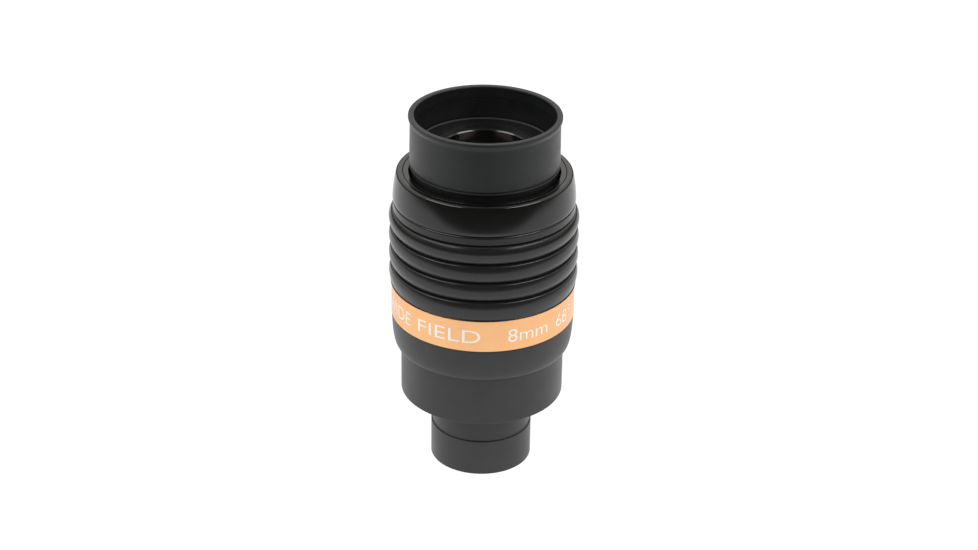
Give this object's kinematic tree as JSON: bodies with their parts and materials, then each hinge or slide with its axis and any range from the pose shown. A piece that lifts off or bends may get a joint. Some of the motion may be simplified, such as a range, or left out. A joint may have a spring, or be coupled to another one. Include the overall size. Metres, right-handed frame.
{
  "type": "telescope eyepiece",
  "caption": "Dual-barrel telescope eyepiece with a black housing, ribbed rubber grip, copper name ring and a twist-up rubber eyecup round a wide eye lens.",
  "frame": {"origin": "centre of the nose's end face, on the optical axis, the lowest point of the part as it stands on its nose", "axes": "+Z along the optical axis towards the observer's eye, -Y towards the side that carries the lettering, +X to the right seen from -Y"},
  "size_m": [0.0582, 0.0582, 0.1167],
  "materials": {
    "satin_black": "satin black anodised",
    "gloss_black": "semi-gloss black anodised",
    "matte_black": "matte black anodised",
    "copper": "satin copper anodised",
    "grip_rubber": "smooth moulded rubber",
    "cup_rubber": "matte moulded rubber",
    "nitrile": "matte",
    "coated_glass": "polished, multi-coated",
    "lens_glass": "polished, coated",
    "marking_white": "white filled marking",
    "screw_steel": "black oxide"
  },
  "bodies": {
    "housing": {"nose_barrel": "satin_black", "barrel_2in": "satin_black", "lower_housing": "satin_black", "upper_housing": "gloss_black", "name_ring": "copper", "grip_sleeve": "grip_rubber", "guide_tube": "matte_black", "face_ring": "matte_black", "eye_lens_retainer": "matte_black", "well_ring": "gloss_black", "eye_lens_crown": "coated_glass", "eye_lens_flint": "lens_glass", "middle_lens": "lens_glass", "inner_lens_crown": "lens_glass", "inner_lens_flint": "lens_glass", "negative_lens_crown": "lens_glass", "negative_lens_flint": "lens_glass", "flattener_lens": "coated_glass", "eye_spacer": "matte_black", "stack_spacer": "matte_black", "negative_spacer": "matte_black", "field_stop_tube": "matte_black", "field_stop": "matte_black", "nose_retainer": "matte_black", "housing_o_ring": "nitrile", "eye_lens_seal": "nitrile", "cam_screw_1": "screw_steel", "lock_screw_1": "screw_steel", "cam_screw_2": "screw_steel", "lock_screw_2": "screw_steel", "cam_screw_3": "screw_steel", "lock_screw_3": "screw_steel"},
    "cup_slider": {"friction_ring": "nitrile"},
    "eyecup": {"eyecup_sleeve": "satin_black", "eyecup_rubber": "cup_rubber"}
  },
  "joints": [
    {"name": "eyecup_rise", "type": "slide", "parent": "housing", "child": "cup_slider", "axis": [0, 0, 1], "range_m": [-0.01, 0]},
    {"name": "eyecup_twist", "type": "hinge", "parent": "cup_slider", "child": "eyecup", "pos_m": [0, 0, 0.085], "axis": [0, 0, 1], "range_deg": [-120, 0]}
  ],
  "couplings": [
    {"joint": "eyecup_rise", "follows": "eyecup_twist", "m_per_rad": 0.00477}
  ]
}
